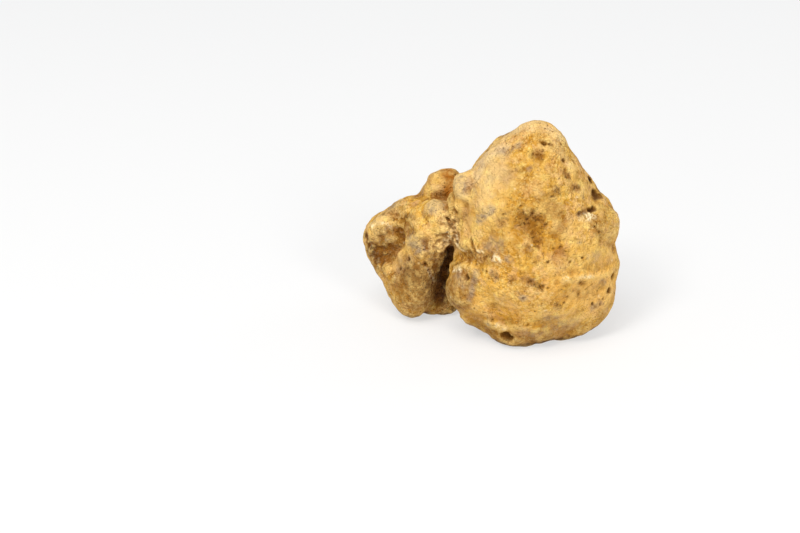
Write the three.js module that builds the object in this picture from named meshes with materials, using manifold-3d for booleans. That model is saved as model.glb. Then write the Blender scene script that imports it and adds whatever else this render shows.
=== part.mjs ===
// A white truffle: one solid, lobed underground fruiting body, resting on a small flat spot.
// Units are millimetres. +X is to the right, +Y away from the front, +Z up. The origin is on the
// surface that the truffle rests on, below the middle of its bounding box.
import * as THREE from "three";
import { ImprovedNoise } from "three/addons/math/ImprovedNoise.js";
import { mergeVertices } from "three/addons/utils/BufferGeometryUtils.js";
import Module from "manifold-3d";

const wasm = await Module();
wasm.setup();

// ---------- driving dimensions ----------
const RIND_COLOUR = 0xc99a4e;
const RIND_ROUGHNESS = 0.85;
const REACH = 80; // farther from a lobe's heart than any point of its skin
const FIRST_STEP = 1; // step of the search for the skin, inwards from REACH
const SKIN_PRECISION = 0.005;
const UP = new THREE.Vector3(0, 0, 1);

// ---------- the skin's formula ----------
const noise = new ImprovedNoise();
const point = new THREE.Vector3();

// Distance from a point to an ellipsoid's surface, negative inside. lean tips its top towards +X, in degrees.
function ellipsoidDistance(p, { at, radii, lean = 0 }) {
  const [dx, y, dz] = [p.x - at[0], p.y - at[1], p.z - at[2]];
  const [sin, cos] = [Math.sin(THREE.MathUtils.degToRad(lean)), Math.cos(THREE.MathUtils.degToRad(lean))];
  const [x, z] = [dx * cos - dz * sin, dx * sin + dz * cos];
  const [a, b, c] = radii;
  const near = Math.hypot(x / a, y / b, z / c);
  const slope = Math.hypot(x / (a * a), y / (b * b), z / (c * c));
  return slope > 0 ? (near * (near - 1)) / slope : -Math.min(a, b, c);
}

// The lesser of two distances, rounded where they are within blend of each other.
function smoothMin(a, b, blend) {
  const h = Math.max(blend - Math.abs(a - b), 0) / blend;
  return Math.min(a, b) - (h * h * blend) / 4;
}

function smoothMax(a, b, blend) {
  return -smoothMin(-a, -b, blend);
}

// Low knolls and dips of the skin, the same everywhere on the truffle.
const KNOLLS = [
  { size: 15, height: 1.5 },
  { size: 7, height: 0.55 },
  { size: 3.8, height: 0.22 },
];

function knollHeight(p) {
  return KNOLLS.reduce((sum, { size, height }) => sum + height * noise.noise(p.x / size, p.y / size, p.z / size), 0);
}

// Distance to a lobe's skin: its bulges run into each other, its dents are pressed in afterwards.
function lobeDistance(p, { bulges, dents }) {
  const body = bulges.reduce((d, bulge) => smoothMin(d, ellipsoidDistance(p, bulge), bulge.blend ?? 8), REACH);
  const dented = dents.reduce((d, dent) => smoothMax(d, -ellipsoidDistance(p, dent), dent.blend ?? 4), body);
  return dented - knollHeight(p);
}

// ---------- the lobes ----------
const MAIN_LOBE = {
  heart: [13, 2, 30],
  detail: 15,
  bulges: [
    { at: [13, 1, 26], radii: [24, 22, 24] }, // belly
    { at: [13, 2, 48], radii: [12.5, 13, 17], blend: 14, lean: -8 }, // crown
    { at: [13.5, 3, 62], radii: [8, 8, 8.5], blend: 6 }, // tip of the crown
    { at: [3.2, 3, 55], radii: [6.3, 9, 7.8], blend: 6 }, // left flank of the crown
    { at: [22.3, 2, 48], radii: [7, 9, 9], blend: 6, lean: -30 }, // right flank of the crown
    { at: [29.1, 2, 35.7], radii: [10.5, 12, 9.5], blend: 6 }, // right shoulder
    { at: [29.8, 2, 19], radii: [11, 14, 12.5], blend: 4 }, // right hip
    { at: [25.5, 0, 8], radii: [11.7, 10, 8.5] }, // heel, under the hip
    { at: [0, 2, 45], radii: [8, 11, 8] }, // left shoulder
    { at: [-6.5, 3, 48.5], radii: [4, 4.5, 4], blend: 3 }, // knuckle on the left shoulder
    { at: [-8.5, 3, 41], radii: [5, 6, 5], blend: 3 }, // second knuckle, below it
    { at: [7, -7.6, 6.8], radii: [10.5, 8.5, 8.5] }, // front foot
    { at: [-6, -5, 15], radii: [8, 9, 11], blend: 5 }, // lower left cheek
    { at: [23, 15, 33], radii: [11, 12, 13], blend: 6 }, // back, upper
    { at: [12, 15, 13.5], radii: [13, 12, 14], blend: 6 }, // back, lower
    { at: [7, 10, 50], radii: [9, 9, 9], blend: 6 }, // back of the crown
  ],
  dents: [
    { at: [10, -23, 47], radii: [6, 6, 6] }, // hollow in the middle of the face
    { at: [8, 30, 33], radii: [3.5, 10, 12], lean: 30, blend: 6 }, // fold down the back
    { at: [27, 27, 17], radii: [9, 8, 3.5], blend: 6 }, // fold across it
    { at: [33, 20, 50], radii: [6, 8, 6], blend: 6 }, // hollow behind the right shoulder
  ],
};

const LEFT_LOBE = {
  heart: [-23, 14, 20],
  detail: 11,
  bulges: [
    { at: [-23, 16, 17], radii: [12.6, 12, 14.5], blend: 6 }, // body
    { at: [-32.5, 16, 22.6], radii: [7.3, 9, 9], blend: 4 }, // left end
    { at: [-23.8, 7.5, 13.5], radii: [7.4, 8.5, 14], blend: 3, lean: 10 }, // front bulge
    { at: [-25, 17, 31.6], radii: [8, 7, 5.5], blend: 5, lean: -20 }, // top ridge
    { at: [-18.5, 9, 29.5], radii: [8.5, 8, 7], blend: 5 }, // slope up to the seam
    { at: [-18, 8.5, 37.2], radii: [4.2, 4.5, 4.4], blend: 4 }, // knuckle beside the seam
  ],
  dents: [
    { at: [-34, 3, 23], radii: [6, 8, 10], lean: 30, blend: 5 }, // earthy hollow
    { at: [-30, 30, 22], radii: [3.5, 7, 9], lean: -25, blend: 6 }, // fold behind
  ],
};

// What joins the left lobe to the main one: a crumpled seam above and a closed floor below the cleft.
const SEAM_LOBE = {
  heart: [-12, 14, 26],
  detail: 8,
  bulges: [
    { at: [-11, 18.5, 22], radii: [11, 8.5, 15], blend: 6 }, // core, at the back of the cleft
    { at: [-14, 7.5, 34], radii: [8, 7.5, 7], blend: 4 }, // crumpled bridge
    { at: [-15, 13, 4.5], radii: [8.5, 9, 6.5], blend: 4 }, // floor of the cleft
    { at: [-5, 17, 27], radii: [11, 8, 10], blend: 6 }, // saddle behind
  ],
  dents: [],
};

const BACK_KNOB = {
  heart: [-13, 20, 38],
  detail: 6,
  bulges: [
    { at: [-13.1, 20, 39], radii: [5.5, 6, 6.8], blend: 5 },
    { at: [-14, 19, 31], radii: [10, 9, 9], blend: 8 },
  ],
  dents: [],
};

// ---------- the holes ----------
// Insect holes and drying slits. Each lies on a lobe's skin, in the direction of toward from its heart.
// Sizes are millimetres; turn turns the longer side about the depth, in degrees.
const HOLES = [
  { toward: [31.8, -2.5, 46.7], across: 2.8, along: 3.6, depth: 2.8 }, // on the right shoulder
  { toward: [30.9, 5.2, 49], across: 1.6, along: 1.8, depth: 1.6 }, // above it
  { toward: [30.2, -7.4, 45], across: 1.5, along: 2.7, depth: 1.7, turn: -70 }, // gash below it, right end
  { toward: [26.7, -10.4, 45], across: 1.7, along: 2.3, depth: 1.5, turn: -50 }, // gash, left end
  { toward: [15.4, -4, 65.2], across: 1.6, along: 1.9, depth: 1.6 }, // slit near the top, left end
  { toward: [17.6, -3.6, 64.7], across: 1.2, along: 2.6, depth: 1.4, turn: 100 }, // slit, right end
  { toward: [37.8, -7.1, 22], across: 1.6, along: 2, depth: 1.8 }, // on the right hip
  { toward: [4.5, -16.6, 5.6], across: 3, along: 3.4, depth: 2.6 }, // under the front
  { toward: [10.2, -15.6, 45.9], across: 4, along: 2.4, depth: 1 }, // pit in the middle of the face
  { toward: [-7.7, -12.4, 24], across: 1.5, along: 1.5, depth: 1.5 }, // on the cheek
  { toward: [25, 26, 41], across: 2.2, along: 2.8, depth: 2.2 }, // behind, upper
  { toward: [2, 24, 20], across: 1.8, along: 4.6, depth: 1.6, turn: 40 }, // slit behind, lower
  { lobe: LEFT_LOBE, toward: [-28, 9.8, 28.6], across: 2.4, along: 3, depth: 1.2 }, // beside the scoop
  { lobe: LEFT_LOBE, toward: [-32, 26, 16], across: 2, along: 2.2, depth: 2 }, // behind the left end
];

// ---------- solids ----------
// A closed three.js geometry as a solid that can be joined and cut.
function solidOf(geometry) {
  const shape = geometry.clone();
  shape.deleteAttribute("normal");
  shape.deleteAttribute("uv");
  const merged = mergeVertices(shape, 1e-4);
  return new wasm.Manifold(
    new wasm.Mesh({
      numProp: 3,
      vertProperties: new Float32Array(merged.attributes.position.array),
      triVerts: new Uint32Array(merged.index.array),
    }),
  );
}

// How far the skin is from the heart along a direction: steps in from outside, then halves the step.
function skinReach(heart, direction, lobe) {
  const inside = (reach) => lobeDistance(point.copy(direction).multiplyScalar(reach).add(heart), lobe) < 0;
  let reach = REACH;
  while (!inside(reach)) reach -= FIRST_STEP;
  for (let step = FIRST_STEP / 2; step > SKIN_PRECISION; step /= 2) reach += inside(reach) ? step : -step;
  return reach;
}

// A ball whose every point is moved out from the lobe's heart to its skin.
function lobeSolid(lobe) {
  const ball = new THREE.IcosahedronGeometry(1, lobe.detail);
  const heart = new THREE.Vector3(...lobe.heart);
  const points = ball.attributes.position;
  const direction = new THREE.Vector3();
  for (let i = 0; i < points.count; i++) {
    direction.fromBufferAttribute(points, i).normalize();
    const skin = direction.clone().multiplyScalar(skinReach(heart, direction, lobe)).add(heart);
    points.setXYZ(i, skin.x, skin.y, skin.z);
  }
  return solidOf(ball);
}

// A hole's solid: a ball stretched to the hole's size, half sunk in the lobe's skin.
function holeSolid({ lobe = MAIN_LOBE, toward, across, along, depth, turn = 0 }) {
  const heart = new THREE.Vector3(...lobe.heart);
  const outward = new THREE.Vector3(...toward).sub(heart).normalize();
  const mouth = outward.clone().multiplyScalar(skinReach(heart, outward, lobe)).add(heart);
  const ball = new THREE.IcosahedronGeometry(1, 1).scale(across / 2, along / 2, depth);
  ball.rotateZ(THREE.MathUtils.degToRad(turn));
  ball.applyQuaternion(new THREE.Quaternion().setFromUnitVectors(UP, outward));
  return solidOf(ball.translate(mouth.x, mouth.y, mouth.z));
}

// The slab that the resting surface takes away: everything below z = 0.
function surfaceSlab() {
  const depth = 40;
  return solidOf(new THREE.BoxGeometry(4 * REACH, 4 * REACH, depth).translate(0, 0, -depth / 2));
}

// A solid's mesh as a three.js geometry, flat shaded.
function geometryOf(solid) {
  const mesh = solid.getMesh();
  const geometry = new THREE.BufferGeometry();
  geometry.setAttribute("position", new THREE.BufferAttribute(new Float32Array(mesh.vertProperties), 3));
  geometry.setIndex(new THREE.BufferAttribute(new Uint32Array(mesh.triVerts), 1));
  const flat = geometry.toNonIndexed();
  flat.computeVertexNormals();
  return flat;
}

const lobes = [MAIN_LOBE, LEFT_LOBE, SEAM_LOBE, BACK_KNOB].map(lobeSolid);
const whole = lobes.reduce((joined, lobe) => joined.add(lobe)).subtract(surfaceSlab());
const body = HOLES.map(holeSolid).reduce((left, hole) => left.subtract(hole), whole);

const rind = new THREE.MeshStandardMaterial({ color: RIND_COLOUR, roughness: RIND_ROUGHNESS, metalness: 0 });
const skin = geometryOf(body);
const middle = new THREE.Box3().setFromBufferAttribute(skin.attributes.position).getCenter(new THREE.Vector3());
const truffle = new THREE.Mesh(skin, rind);
truffle.name = "truffle";
truffle.position.set(-middle.x, -middle.y, 0);

const part = new THREE.Group();
part.add(truffle);

export default part;
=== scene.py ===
# %% [markdown]
# # A white truffle
# A white truffle grows underground and takes the shape of the gaps between stones and roots. This one
# is a tall, slightly flattened lump with a smaller lump grown onto its left side, and a deep earthy
# cleft between the two. The solid from the workshop has those lumps at their real size. This lesson
# turns it into a rind: it softens the facets, presses the folds, pores and cracks into the surface,
# marks where earth, bruises and scars lie and where shade and highlights are painted in, and then
# colours all of that with one procedural material.

# %% Load the fixed frame
import math
import random

import bmesh
import bpy
import numpy as np
from mathutils import Matrix, Vector, noise
from mathutils.bvhtree import BVHTree


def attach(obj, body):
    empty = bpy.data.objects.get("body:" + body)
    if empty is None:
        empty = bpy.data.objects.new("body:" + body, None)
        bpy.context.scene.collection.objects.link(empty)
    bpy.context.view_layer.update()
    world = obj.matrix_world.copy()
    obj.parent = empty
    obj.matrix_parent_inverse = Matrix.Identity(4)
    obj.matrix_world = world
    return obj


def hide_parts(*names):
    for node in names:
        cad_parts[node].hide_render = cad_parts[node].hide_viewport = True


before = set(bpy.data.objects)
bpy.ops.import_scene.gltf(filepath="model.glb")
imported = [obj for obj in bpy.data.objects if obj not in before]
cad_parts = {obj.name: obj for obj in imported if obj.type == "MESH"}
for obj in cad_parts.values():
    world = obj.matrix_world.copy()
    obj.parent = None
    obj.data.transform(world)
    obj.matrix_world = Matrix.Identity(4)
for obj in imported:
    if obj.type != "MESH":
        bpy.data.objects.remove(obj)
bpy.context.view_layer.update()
MM = 0.001

# %% [markdown]
# ## The camera
# A product shot from a little above: a long lens flattens the perspective. The camera is placed first,
# because the marks on the front of the truffle are laid out as they are seen through it, in picture
# points 800 wide and 533 high, and are then dropped onto the surface behind each point.

# %% Place the camera
ELEVATION = math.radians(27)
DISTANCE = 587.4 * MM
LENS = 85
SENSOR = 36
PICTURE = (800, 533)
CLIP_START = 0.01
AIM = Vector((-28.48, -7.88, 23.99)) * MM

sight = Vector((0, math.cos(ELEVATION), -math.sin(ELEVATION)))
upward = Vector((0, math.sin(ELEVATION), math.cos(ELEVATION)))
eye = AIM - sight * DISTANCE
camera_data = bpy.data.cameras.new("camera")
camera_data.lens = LENS
camera_data.sensor_width = SENSOR
camera_data.clip_start = CLIP_START
camera = bpy.data.objects.new("camera", camera_data)
camera.matrix_world = Matrix.Translation(eye) @ sight.to_track_quat("-Z", "Y").to_matrix().to_4x4()
bpy.context.scene.collection.objects.link(camera)
bpy.context.scene.camera = camera
print("the camera is", round(DISTANCE, 3), "m from what it looks at")

# %% [markdown]
# ## Floor and light
# A pale sweep and soft light from above and to the left keep the shadows faint, so that the relief of
# the rind is read from its own shading and not from hard shadows.

# %% Lay the floor
FLOOR_COLOUR = (0.345, 0.348, 0.353, 1)
FLOOR_ROUGHNESS = 0.9
FLOOR_GLOW = 0.55  # a backlit sweep, which keeps the contact shadow faint
FLOOR_HALF = 3.0

sweep = bpy.data.materials.new("pale sweep")
sweep.use_nodes = True
floor_shader = sweep.node_tree.nodes["Principled BSDF"]
floor_shader.inputs["Base Color"].default_value = FLOOR_COLOUR
floor_shader.inputs["Roughness"].default_value = FLOOR_ROUGHNESS
floor_shader.inputs["Emission Color"].default_value = (1, 1, 1, 1)
floor_shader.inputs["Emission Strength"].default_value = FLOOR_GLOW
floor_mesh = bpy.data.meshes.new("floor")
bm = bmesh.new()
bmesh.ops.create_grid(bm, x_segments=1, y_segments=1, size=FLOOR_HALF)
bm.to_mesh(floor_mesh)
bm.free()
floor = bpy.data.objects.new("floor", floor_mesh)
floor.data.materials.append(sweep)
bpy.context.scene.collection.objects.link(floor)
print("the floor is", 2 * FLOOR_HALF, "m wide")

# %% Set the lights
WORLD_COLOUR = (0.93, 0.965, 1, 1)
WORLD_STRENGTH = 0.48
LAMP_COLOUR = (1, 0.965, 0.915)
LIGHTS = {
    "overhead": {"at": (-0.2, -0.3, 0.95), "size": 0.5, "watts": 3.6},
    "front left": {"at": (-0.52, -0.63, 0.94), "size": 0.35, "watts": 6.35},
    "front right": {"at": (0.52, -0.85, 0.62), "size": 0.4, "watts": 4.3},
    "rim right": {"at": (0.8, 0.4, 0.4), "size": 0.5, "watts": 1.0},
}

world = bpy.data.worlds.new("studio")
world.use_nodes = True
background = world.node_tree.nodes["Background"]
background.inputs["Color"].default_value = WORLD_COLOUR
background.inputs["Strength"].default_value = WORLD_STRENGTH
bpy.context.scene.world = world
bpy.context.scene.view_settings.view_transform = "Standard"


def add_area_light(name, at, size, watts):
    data = bpy.data.lights.new(name, "AREA")
    data.shape = "DISK"
    data.size = size
    data.energy = watts
    data.color = LAMP_COLOUR
    lamp = bpy.data.objects.new(name, data)
    lamp.location = at
    lamp.rotation_euler = (AIM - Vector(at)).to_track_quat("-Z", "Y").to_euler()
    bpy.context.scene.collection.objects.link(lamp)


for name, light in LIGHTS.items():
    add_area_light(name, **light)
print(len(LIGHTS), "area lights")

# %% [markdown]
# ## The skin
# The solid is faceted, as a workshop model is. A copy of it is merged, remeshed into small even squares
# and smoothed, which also lets the lumps flow into each other where they touch, as they do when they
# have grown together. Subdividing the facets would keep their uneven sizes, and a mark would come out
# coarse on the large ones.

# %% Make an even, smooth skin
MERGE = 0.002 * MM
VOXEL = 0.93 * MM
SMOOTH_FACTOR = 0.5
SMOOTH_ROUNDS = 13


def baked(piece):
    """The piece's mesh with its modifiers applied, in place of the old one."""
    graph = bpy.context.evaluated_depsgraph_get()
    mesh = bpy.data.meshes.new_from_object(piece.evaluated_get(graph))
    piece.modifiers.clear()
    piece.data = mesh
    return mesh


skin_mesh = bpy.data.meshes.new("skin")
bm = bmesh.new()
bm.from_mesh(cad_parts["truffle"].data)
bmesh.ops.remove_doubles(bm, verts=bm.verts, dist=MERGE)
bm.to_mesh(skin_mesh)
bm.free()
skin = bpy.data.objects.new("truffle_skin", skin_mesh)
bpy.context.scene.collection.objects.link(skin)
remesh = skin.modifiers.new("even squares", "REMESH")
remesh.mode = "VOXEL"
remesh.voxel_size = VOXEL
smooth = skin.modifiers.new("soften", "SMOOTH")
smooth.factor = SMOOTH_FACTOR
smooth.iterations = SMOOTH_ROUNDS
baked(skin)
print(len(skin.data.polygons), "squares")

# %% [markdown]
# ## Pressing marks into the skin
# Every fold, pore, crack and scar is one kind of thing here: a mark. A mark follows a path on the skin,
# reaches a few millimetres to each side of it, and moves the skin inwards or outwards, most at the path
# and not at all at its reach. The same mark can leave a stain, so that the pores are painted dark inside
# as their shade, with a ring of earth round them, and the grey bruises sit where the skin is rubbed. A
# little noise makes every outline ragged. A bump texture could fake the same marks, but it would leave
# the outline smooth and would be missing from the mesh.

# %% Tools that find and move the skin's points
ACROSS = Vector((1, 0, 0))
MIDDLE = (500, 235)  # the picture point that the truffle is centred on
INWARD = np.arange(0, 0.2, 0.005)  # shares of the way to the middle, tried in turn at the outline
LOSS = 1.0  # how much flatter each finer octave of the noise is
FINER = 2.0  # how much finer each octave is
SEED_STEP = (1, 1.7, 0.6)  # where the noise moves to from one seed to the next


def read_vectors(mesh, name):
    """A vector of every vertex, such as its co or its normal, one row each."""
    flat = np.empty(3 * len(mesh.vertices))
    mesh.vertices.foreach_get(name, flat)
    return flat.reshape(-1, 3)


def read_points(mesh):
    """The mesh's points in millimetres."""
    return read_vectors(mesh, "co") / MM


def read_normals(mesh):
    return read_vectors(mesh, "normal")


def write_points(mesh, points):
    mesh.vertices.foreach_set("co", (points * MM).ravel())
    mesh.update()


def fractal(points, size, octaves=2, seed=0):
    """Smooth noise, about -1 to 1, with swells about size millimetres wide."""
    shift = Vector([seed * step for step in SEED_STEP])
    return np.array([noise.fractal(Vector(p) / size + shift, LOSS, FINER, octaves) for p in points])


def smoothstep(t):
    t = np.clip(t, 0, 1)
    return t * t * (3 - 2 * t)


def picture_ray(x, y):
    """The direction from the eye through a point of the picture."""
    per_point = SENSOR / LENS / PICTURE[0]
    across = (x - PICTURE[0] / 2) * per_point
    above = (PICTURE[1] / 2 - y) * per_point
    return (sight + ACROSS * across + upward * above).normalized()


def skin_tree(mesh):
    return BVHTree.FromPolygons([v.co for v in mesh.vertices], [p.vertices for p in mesh.polygons])


def on_skin(tree, x, y):
    """The place on the skin, in millimetres, seen at a point of the picture, or just inside the outline."""
    for share in INWARD:
        inner_x = x + share * (MIDDLE[0] - x)
        inner_y = y + share * (MIDDLE[1] - y)
        place, _, _, _ = tree.ray_cast(eye, picture_ray(inner_x, inner_y))
        if place is not None:
            return np.array(place) / MM
    raise ValueError(f"nothing is seen at {x}, {y}")


def distance_to_path(points, path):
    """How far each point is from a path of straight stretches."""
    if len(path) == 1:
        return np.linalg.norm(points - path[0], axis=1)
    nearest = np.full(len(points), np.inf)
    for start, end in zip(path, path[1:]):
        along = end - start
        share = np.clip((points - start) @ along / (along @ along), 0, 1)
        nearest = np.minimum(nearest, np.linalg.norm(points - start - share[:, None] * along, axis=1))
    return nearest


print("a picture point is about", round(DISTANCE * SENSOR / LENS / PICTURE[0] / MM, 3), "mm wide")

# %% [markdown]
# ## The large folds
# These are the forms that a thumb would find: the hollow in the middle of the face, the ledge on the
# right, the lip above the cheek, the scoop in the left lump. Paths are picture points; reach and height
# are millimetres, and a height below zero presses the skin in.

# %% Press in the large folds
FORMS = [  # path, reach, height
    # the face of the main lump
    ([(526, 219), (538, 221)], 10, -1.8),  # the hollow in its middle
    ([(534, 228), (538, 242), (556, 252)], 6, -0.9),
    ([(492, 200), (500, 188)], 11, 0.9),
    ([(497, 222), (516, 243)], 6, 0.5),
    ([(545, 268)], 8, 0.7),
    ([(560, 222), (574, 232)], 7, 0.7),
    ([(509, 297), (530, 305)], 10, 0.9),
    ([(505, 270), (520, 278), (540, 284)], 5, -0.6),
    # the crown
    ([(551, 151)], 6, 0.8),
    ([(539, 154)], 3.5, -0.9),
    ([(487, 147), (507, 151), (526, 142)], 3, -0.4),
    ([(567, 175)], 3, -0.5),
    ([(576, 188)], 3, -0.4),
    # the ledge on the right, and the hollow below it
    ([(562, 280), (581, 277), (598, 277), (612, 269)], 2.6, 0.8),
    ([(567, 290), (588, 292), (604, 289)], 6, -0.5),
    ([(588, 213)], 5, -0.7),
    # the cheek: a lip along its top, a valley above and beside it
    ([(449, 271), (459, 265), (470, 267), (477, 273)], 2.4, 0.9),
    ([(459, 256), (470, 259), (483, 262)], 3, -0.5),
    ([(478, 271), (475, 285), (471, 300)], 3.2, -0.7),
    ([(458, 246), (468, 249), (480, 252)], 2.6, 0.3),
    # the ridge above the underside
    ([(486, 323), (503, 327), (522, 327), (536, 330)], 3, 0.7),
    ([(497, 334), (514, 338)], 3.4, -0.6),
    ([(545, 336), (560, 337), (578, 332)], 6, 1.2),
    # the shoulder's knuckles
    ([(459, 181), (460, 188)], 7.0, 1.5),
    ([(468, 191), (459, 198), (452, 199)], 2.4, -0.5),
    ([(471, 178), (470, 185), (468, 191)], 2.4, -0.8),
    ([(437, 168), (447, 168)], 4.0, -0.7),
    ([(457, 207)], 4, 0.9),
    ([(466, 204), (467, 214), (461, 221)], 2.2, -0.5),
    # the left lump: scoop, rim, front bulge with its ridge, broken zone, knuckle
    ([(376, 250), (390, 256)], 6.0, -0.7),
    ([(383, 233), (388, 238)], 6.0, 1.1),
    ([(366, 235)], 2.6, -1.0),
    ([(398, 230), (403, 237), (398, 249), (392, 260)], 2.6, -0.7),
    ([(392, 240)], 4.5, 0.8),
    ([(434, 240), (444, 243)], 4.0, 1.0),
    ([(374, 224), (382, 220), (392, 222), (400, 228)], 2.2, 0.4),
    ([(534, 230), (533, 238), (538, 246)], 1.6, -0.6),  # this one is a groove in the face
    ([(389, 270), (396, 256), (410, 241), (421, 236)], 3.4, 1.3),
    ([(434, 255), (441, 258)], 5.5, 1.3),
    ([(446, 220), (450, 230), (452, 239)], 5.0, 1.0),
    ([(461, 226), (466, 238)], 6.0, 1.2),
    ([(451, 216), (454, 228), (455, 238)], 4.0, 1.3),
    ([(422, 256), (427, 250), (438, 248)], 1.7, 0.5),
    ([(436, 207), (439, 210)], 5.2, 2.1),
    ([(427, 199), (436, 198), (446, 198)], 2.8, -1.1),
    ([(427, 202), (424, 211), (428, 219)], 2.4, -0.9),
    ([(451, 197), (452, 206)], 2.8, 0.9),
    ([(447, 202), (450, 212)], 1.7, -0.7),
    ([(455, 203), (457, 211), (456, 219)], 1.7, -0.6),
    ([(421, 191), (423, 185)], 4.5, -1.0),  # the knob's side
    ([(464, 168), (459, 173), (455, 176)], 4.5, -1.1),
    ([(436, 176), (437, 188)], 3.4, 0.6),
    ([(411, 220), (425, 226)], 6, 0.8),
    ([(392, 214), (404, 222), (414, 232)], 2.6, -0.7),
    # the outline: a flatter upper left, a higher crown, a notch above the right hip
    ([(490, 142), (482, 154)], 8, -0.6),
    ([(533, 121)], 8, 0.4),
    ([(590, 180)], 5, 0.6),
    ([(606, 195), (611, 203)], 6, -1.0),
    ([(603, 240), (611, 244), (617, 247)], 3.2, -1.4),
    # the turn from the cheek to the underside
    ([(446, 311), (459, 316), (471, 322), (484, 330)], 6.5, -1.4),
]
RAGGED_SIZE = 3.0
RAGGED_SHARE = 0.35


def press(points, normals, ragged, path, reach, height):
    """Moves the points near a path outwards by height, fading to nothing at its reach."""
    away = distance_to_path(points, path) * (1 + RAGGED_SHARE * ragged)
    return points + normals * (height * smoothstep(1 - away / reach))[:, None]


tree = skin_tree(skin.data)
points = read_points(skin.data)
normals = read_normals(skin.data)
ragged = fractal(points, RAGGED_SIZE)
for path, reach, height in FORMS:
    spots = [on_skin(tree, *spot) for spot in path]
    points = press(points, normals, ragged, spots, reach, height)
write_points(skin.data, points)
print(len(FORMS), "folds pressed in")

# %% [markdown]
# ## Where earth and shade gather
# Soil is washed and brushed off the open faces and stays where nothing reaches: in the cleft, in the
# creases and underneath. Light hardly reaches these places either, so the brown veil and the near-black
# put there later are painted shade as well as earth. How sheltered a point is can be measured: rays
# leave it in all directions, and the share of them that soon meets the truffle or the ground is its
# shelter, from 0 to 1.

# %% Measure how sheltered the skin is
SHELTER_RAYS = 16
SHELTER_REACH = 14 * MM
SHELTER_ROUNDS = 4
SHELTER_LIFT = 0.3  # where the rays start above the skin, in millimetres
SLANT = (0.36, 0.48, 0.8)  # a direction that hardly any normal has
GOLDEN_TURN = math.pi * (3 - math.sqrt(5))
NOTABLE = 0.5  # the value from which a point is counted in what is printed


def dome_directions(count):
    """Directions over a dome round +Z, closer together near its top."""
    share = (np.arange(count) + 0.5) / count
    turn = GOLDEN_TURN * np.arange(count)
    flat = np.sqrt(share)
    return np.stack([flat * np.cos(turn), flat * np.sin(turn), np.sqrt(1 - share)], axis=1)


def shelter(tree, points, normals):
    """The share of each point's rays that meet the skin or the ground within the shelter's reach."""
    side = np.cross(normals, SLANT)
    side /= np.linalg.norm(side, axis=1)[:, None]
    other = np.cross(normals, side)
    met = np.zeros(len(points))
    for x, y, z in dome_directions(SHELTER_RAYS):
        rays = x * side + y * other + z * normals
        starts = points * MM + normals * SHELTER_LIFT * MM
        for index, (start, ray) in enumerate(zip(starts.tolist(), rays.tolist())):
            to_ground = -start[2] / ray[2] if ray[2] < 0 else math.inf
            if to_ground < SHELTER_REACH or tree.ray_cast(start, ray, SHELTER_REACH)[0] is not None:
                met[index] += 1
    return met / SHELTER_RAYS


def read_edges(mesh):
    ends = np.empty(2 * len(mesh.edges), dtype=int)
    mesh.edges.foreach_get("vertices", ends)
    return ends.reshape(-1, 2)


def evened(values, edges, rounds):
    """Each point's value replaced by the mean of its neighbours', again and again."""
    values = values.reshape(len(values), -1)
    counts = np.bincount(edges.ravel(), minlength=len(values))[:, None]
    for _ in range(rounds):
        total = np.zeros_like(values)
        np.add.at(total, edges[:, 0], values[edges[:, 1]])
        np.add.at(total, edges[:, 1], values[edges[:, 0]])
        values = total / counts
    return values


sheltered = shelter(skin_tree(skin.data), points, read_normals(skin.data))
sheltered = evened(sheltered, read_edges(skin.data), SHELTER_ROUNDS).ravel()
skin.data.attributes.new("sheltered", "FLOAT", "POINT").data.foreach_set("value", sheltered)
print("sheltered points:", int((sheltered > NOTABLE).sum()), "of", len(points))

# %% [markdown]
# ## The fine marks
# The squares are now split in four, down to about half a millimetre, which is fine enough for a pore
# with walls. Insects leave clean round holes, drying opens short cracks with pale lips, and stones tear
# off small flakes that heal pale. Each list below holds one kind.

# %% Split the squares
split = skin.modifiers.new("finer squares", "SUBSURF")
split.levels = 1
split.render_levels = 1
baked(skin)
print(len(skin.data.polygons), "squares after splitting")

# %% Holes, cracks and chips on the front
HOLES = [  # round, with steep walls: path, radius, depth, and where given how dark the painted shade inside is and how tilted
    ([(595.5, 193), (599.5, 195.5)], 1.7, 1.8, 0.6, 0.8),
    ([(590.5, 179.5)], 1.2, 1.5, 1.0, 0.8),
    ([(590, 210), (593.5, 208.4)], 0.7, 1.1, 0.7),
    ([(580.5, 213.6)], 0.5, 0.6, 0.45),
    ([(543, 143), (545, 144.3)], 0.45, 0.6, 0.7),
    ([(561, 144)], 0.4, 0.4),
    ([(564, 159.5)], 0.6, 1.2),
    ([(612.5, 276.4)], 1.1, 2.0),
    ([(609, 290.5)], 1.0, 1.6),
    ([(504, 335), (508, 338)], 1.5, 1.6, 0.45),
    ([(467, 277.6)], 0.65, 1.3),
    ([(409, 259)], 0.5, 0.7),
    ([(400, 268)], 0.7, 0.6),
    ([(404, 270)], 0.45, 0.4),
    ([(580, 283)], 0.5, 0.5),
    ([(593, 304)], 0.45, 0.5),
    ([(486, 272)], 0.4, 0.4),
]
PINHOLES = [  # pores as fine as a pin prick
    (599, 232), (594.5, 226.5), (538, 246), (531, 251), (553, 248), (560, 247), (527, 219),
    (536, 221), (532, 214), (545, 225), (521, 206), (503, 214), (556, 191), (552, 196), (566, 177),
    (577, 187), (538, 155), (542, 151), (531, 281), (534, 284), (537, 283), (540, 287), (543, 286),
    (548, 288), (573, 291), (567, 297), (579, 295), (586, 289), (592, 285), (598, 291), (603, 298),
    (590, 299), (600, 304.5), (564, 302), (557, 305), (513, 280), (496, 277), (523, 299),
    (520, 262), (548, 262), (571, 262), (583, 258), (492, 320), (528, 325),
]
PINHOLE = (0.36, 0.4, 0.75)  # radius, depth and how dark the painted shade inside is
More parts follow.
